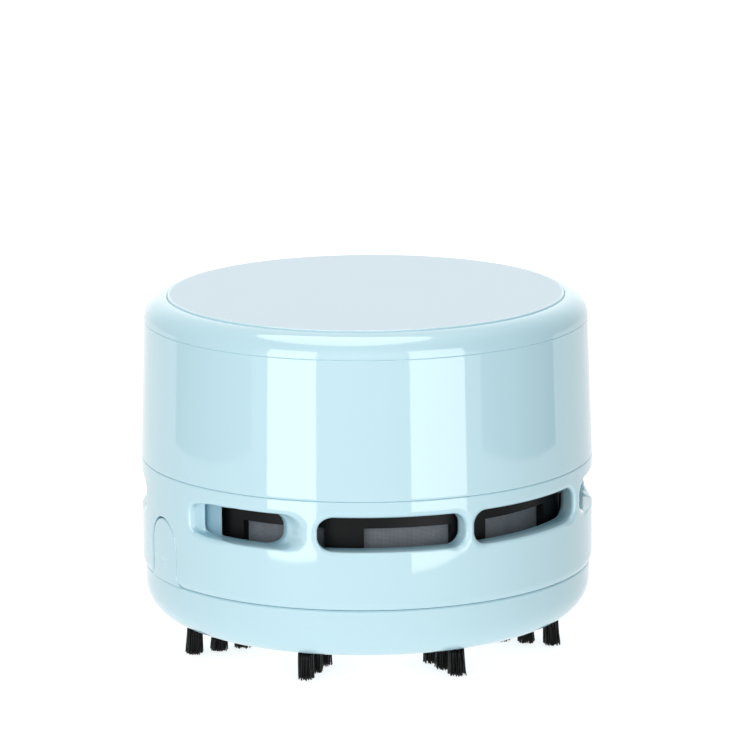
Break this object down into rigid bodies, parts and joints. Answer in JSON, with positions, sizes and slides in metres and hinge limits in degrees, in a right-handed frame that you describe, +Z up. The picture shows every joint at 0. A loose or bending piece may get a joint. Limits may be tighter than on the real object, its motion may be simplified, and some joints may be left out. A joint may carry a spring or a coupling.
{
  "type": "desktop mini vacuum cleaner",
  "caption": "Round battery table vacuum on bristle tufts, with vent slots, press-top switch, lift-off cap and a dust tray released by side tabs.",
  "frame": {"origin": "on the table under the middle of the part, at the level of the bristle tips", "axes": "+Z up along the fan shaft; the release tabs lie on -X and +X; the vent groups face -Y and +Y"},
  "size_m": [0.085, 0.085, 0.0655],
  "materials": {
    "body_blue": "gloss",
    "button_satin": "fine satin",
    "inner_white": "moulded",
    "cage_black": "moulded",
    "mesh_grey": "woven mesh",
    "bristle_black": "nylon strands",
    "can_steel": "drawn",
    "screw_steel": "zinc",
    "magnet_dark": "ferrite",
    "armature_copper": "enamelled winding",
    "contact_nickel": "plated strip",
    "terminal_brass": "tinned",
    "fan_white": "moulded",
    "cell_jacket": "printed sleeve, plain",
    "switch_black": "moulded",
    "plunger_white": "moulded",
    "lead_rubber": "insulated lead"
  },
  "bodies": {
    "dust_tray": {"dust_tray": "body_blue", "brush_row_1": "bristle_black", "brush_row_2": "bristle_black", "brush_row_3": "bristle_black", "brush_row_4": "bristle_black", "brush_row_5": "bristle_black", "brush_row_6": "bristle_black", "brush_row_7": "bristle_black", "brush_row_8": "bristle_black"},
    "housing": {"vent_shell": "body_blue", "sleeve": "body_blue", "filter_cage": "cage_black", "filter_mesh": "mesh_grey", "motor_deck": "inner_white", "battery_holder": "inner_white", "switch_bracket": "inner_white", "deck_screws": "screw_steel", "motor_screws": "screw_steel", "bracket_screws": "screw_steel", "motor_can": "can_steel", "motor_magnets": "magnet_dark", "motor_end_cap": "inner_white", "motor_terminals": "terminal_brass", "battery_left": "cell_jacket", "battery_right": "cell_jacket", "battery_springs": "contact_nickel", "contact_strips": "contact_nickel", "switch_body": "switch_black", "lead_wires": "lead_rubber"},
    "release_tab_left": {"release_tab_left": "body_blue"},
    "release_tab_right": {"release_tab_right": "body_blue"},
    "battery_cap": {"battery_cap": "body_blue"},
    "power_button": {"power_button": "button_satin"},
    "switch_plunger": {"switch_plunger": "plunger_white"},
    "fan": {"fan": "fan_white", "motor_shaft": "can_steel", "motor_armature": "armature_copper"}
  },
  "joints": [
    {"name": "tray_release", "type": "slide", "parent": "dust_tray", "child": "housing", "axis": [0, 0, 1], "range_m": [0, 0.03]},
    {"name": "tab_left_press", "type": "hinge", "parent": "dust_tray", "child": "release_tab_left", "pos_m": [-0.04055, 0, 0.01465], "axis": [0, 1, 0], "range_deg": [0, 6], "stiffness_Nm_per_rad": 0.3},
    {"name": "tab_right_press", "type": "hinge", "parent": "dust_tray", "child": "release_tab_right", "pos_m": [0.04055, 0, 0.01465], "axis": [0, -1, 0], "range_deg": [0, 6], "stiffness_Nm_per_rad": 0.3},
    {"name": "cap_lift", "type": "slide", "parent": "housing", "child": "battery_cap", "axis": [0, 0, 1], "range_m": [0, 0.02]},
    {"name": "button_press", "type": "slide", "parent": "battery_cap", "child": "power_button", "axis": [0, 0, -1], "range_m": [0, 0.0018], "stiffness_N_per_m": 400, "springref_m": -0.002},
    {"name": "switch_press", "type": "slide", "parent": "housing", "child": "switch_plunger", "axis": [0, 0, -1], "range_m": [0, 0.0018], "stiffness_N_per_m": 100, "springref_m": -0.002},
    {"name": "fan_spin", "type": "hinge", "parent": "housing", "child": "fan", "pos_m": [0, 0, 0.03], "axis": [0, 0, 1], "continuous": true}
  ],
  "couplings": [
    {"joint": "switch_press", "follows": "button_press", "ratio": 1}
  ]
}
